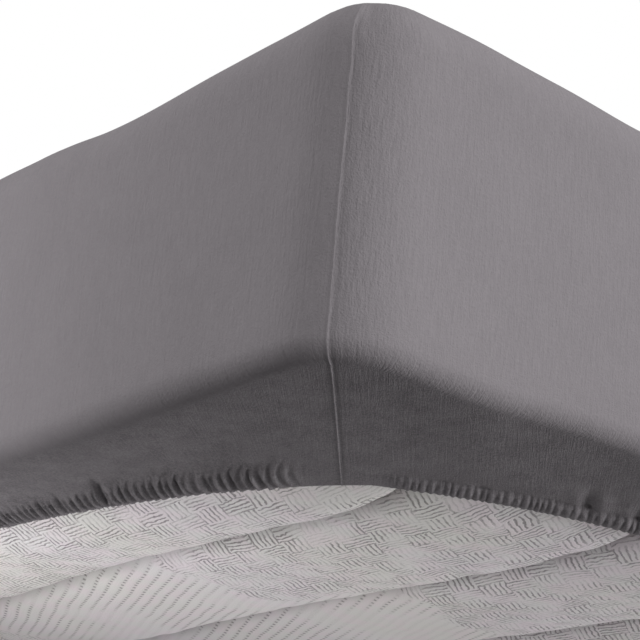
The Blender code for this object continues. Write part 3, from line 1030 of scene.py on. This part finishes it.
# ---------------------------------------------------------------- stage
floor_data = bpy.data.meshes.new("floor")
size = 14.0
floor_data.from_pydata([(-size, -size, -0.0006), (size, -size, -0.0006), (size, size, -0.0006), (-size, size, -0.0006)],
                       [], [(0, 1, 2, 3)])
floor = bpy.data.objects.new("floor", floor_data)
bpy.context.scene.collection.objects.link(floor)
# The floor shows from above only, because the object is also seen from under it.
fm = bpy.data.materials.new("pale_floor")
fm.use_nodes = True
tree = fm.node_tree
out = tree.nodes["Material Output"]
shade = tree.nodes["Principled BSDF"]
shade.inputs["Base Color"].default_value = (0.80, 0.80, 0.79, 1)
shade.inputs["Roughness"].default_value = 0.8
clear = tree.nodes.new("ShaderNodeBsdfTransparent")
geo = tree.nodes.new("ShaderNodeNewGeometry")
both = tree.nodes.new("ShaderNodeMixShader")
tree.links.new(geo.outputs["Backfacing"], both.inputs[0])
tree.links.new(shade.outputs[0], both.inputs[1])
tree.links.new(clear.outputs[0], both.inputs[2])
tree.links.new(both.outputs[0], out.inputs["Surface"])
floor_data.materials.append(fm)
floor.visible_diffuse = False
floor.visible_glossy = False
floor.visible_transmission = False
floor.visible_shadow = False
floor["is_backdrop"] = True

scene = bpy.context.scene
world = bpy.data.worlds.new("studio")
scene.world = world
world.use_nodes = True
wt = world.node_tree
wt.nodes.clear()
w_out = wt.nodes.new("ShaderNodeOutputWorld")
seen = wt.nodes.new("ShaderNodeBackground")
seen.inputs["Color"].default_value = (1, 1, 1, 1)
seen.inputs["Strength"].default_value = 1.0
lit = wt.nodes.new("ShaderNodeBackground")
path = wt.nodes.new("ShaderNodeLightPath")
pick = wt.nodes.new("ShaderNodeMixShader")
coord = wt.nodes.new("ShaderNodeTexCoord")
sepw = wt.nodes.new("ShaderNodeSeparateXYZ")
grad = wt.nodes.new("ShaderNodeMapRange")
grad.inputs["From Min"].default_value = -0.6
grad.inputs["From Max"].default_value = 0.5
grad.inputs["To Min"].default_value = 0.09
grad.inputs["To Max"].default_value = 1.72
wt.links.new(coord.outputs["Generated"], sepw.inputs[0])
wt.links.new(sepw.outputs["Z"], grad.inputs["Value"])
wt.links.new(grad.outputs["Result"], lit.inputs["Strength"])
wt.links.new(path.outputs["Is Camera Ray"], pick.inputs[0])
wt.links.new(lit.outputs[0], pick.inputs[1])
wt.links.new(seen.outputs[0], pick.inputs[2])
wt.links.new(pick.outputs[0], w_out.inputs["Surface"])


KEY_FROM = (0.890, 0.450, -0.070)
KEY_POWER = 3.00
WALL_POWER = 7.3
LOW_POWER = 0.86
BACK_FROM = (-0.30, 0.92, -0.24)
BACK_POWER = 1.55


def sun(name, toward, strength, angle, colour=(1, 1, 1)):
    """A far, soft lamp that shines from the direction toward."""
    data = bpy.data.lights.new(name, "SUN")
    data.energy = strength
    data.angle = math.radians(angle)
    data.color = colour
    made = bpy.data.objects.new(name, data)
    made.rotation_euler = Vector(toward).to_track_quat("Z", "Y").to_euler()
    scene.collection.objects.link(made)
    return made


sun("key", KEY_FROM, KEY_POWER, 24)
sun("back", BACK_FROM, BACK_POWER, 44)


def panel(name, at, aim, size, power, spread=95):
    """A soft square lamp, itself unseen."""
    data = bpy.data.lights.new(name, "AREA")
    data.energy = power
    data.size = size
    data.spread = math.radians(spread)
    made = bpy.data.objects.new(name, data)
    made.location = at
    made.rotation_euler = (Vector(at) - Vector(aim)).to_track_quat("Z", "Y").to_euler()
    made.visible_camera = False
    scene.collection.objects.link(made)
    return made


panel("left_front", (-1.30, -2.40, 0.10), (0.0, -1.0, 0.10), 0.9, WALL_POWER)
panel("low_left", (-0.25, -1.45, -0.42), (-0.05, -0.94, 0.0), 0.35, LOW_POWER, 58)

scene.view_settings.view_transform = "Standard"
scene.view_settings.look = "None"
scene.view_settings.exposure = 0.0
scene.view_settings.gamma = 1.0

# ---------------------------------------------------------------- camera
CAMERA_AT = (WIDTH / 2 + 0.59590, -LENGTH / 2 - 0.46498, -0.25995)
HEADING, PITCH, ROLL = math.radians(45) + 0.131888, 0.349198, 0.100202
FOCAL_PX = 1847.98
forward = Vector((-math.sin(HEADING) * math.cos(PITCH), math.cos(HEADING) * math.cos(PITCH), math.sin(PITCH)))
right = Vector((math.cos(HEADING), math.sin(HEADING), 0.0))
up = right.cross(forward)
right_r = right * math.cos(ROLL) + up * math.sin(ROLL)
up_r = -right * math.sin(ROLL) + up * math.cos(ROLL)
cam_data = bpy.data.cameras.new("camera")
cam_data.sensor_width = 36.0
cam_data.lens = FOCAL_PX / 640 * 36.0
cam_data.clip_start = 0.02
cam_data.clip_end = 60.0
camera = bpy.data.objects.new("camera", cam_data)
rotation = Matrix((right_r, up_r, -forward)).transposed().to_4x4()
camera.matrix_world = Matrix.Translation(CAMERA_AT) @ rotation
scene.collection.objects.link(camera)
scene.camera = camera

low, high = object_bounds()
